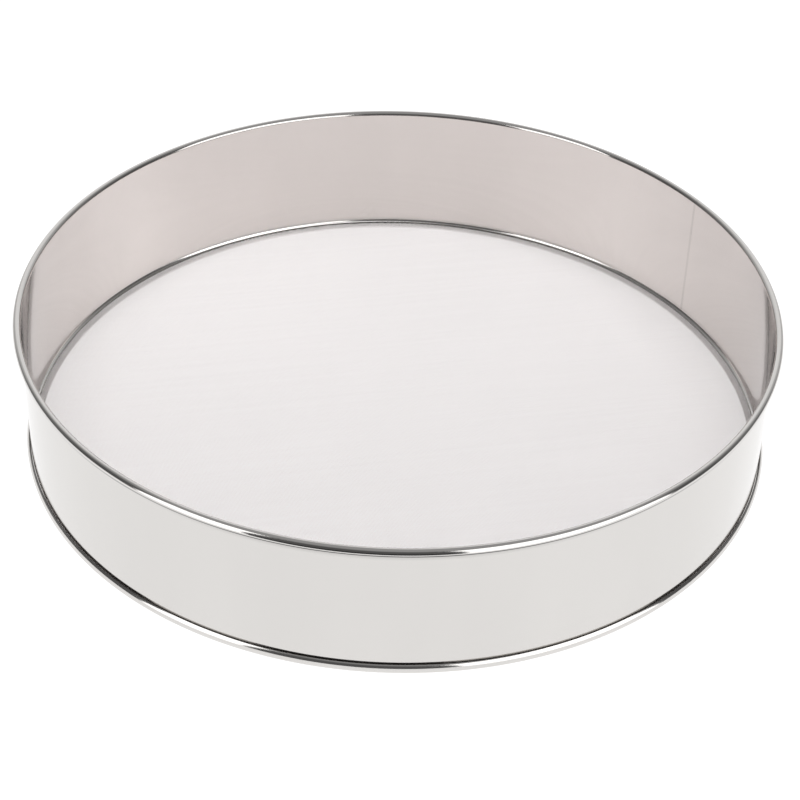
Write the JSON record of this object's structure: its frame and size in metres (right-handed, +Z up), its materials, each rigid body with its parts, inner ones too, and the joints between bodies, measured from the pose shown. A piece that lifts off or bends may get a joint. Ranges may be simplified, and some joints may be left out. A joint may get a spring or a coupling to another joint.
{
  "type": "drum sieve",
  "caption": "Shallow round drum sieve of polished stainless sheet with a rolled rim and a fine wire cloth carried by its foot band, for sifting flour and passing purees.",
  "frame": {"origin": "centre of the foot's resting face", "axes": "+Z up along the drum's axis, +X to the right of the picture, +Y away from the camera"},
  "size_m": [0.3, 0.3, 0.059],
  "materials": {
    "polished_sheet": "polished stainless sheet",
    "ground_weld": "ground flush and polished",
    "drawn_wire": "drawn",
    "wire_cloth": "woven bright wire"
  },
  "bodies": {
    "root": {"hoop": "polished_sheet", "seam_weld": "ground_weld", "rim_wire": "drawn_wire", "foot_band": "polished_sheet", "mesh_cloth": "wire_cloth"}
  },
  "joints": []
}
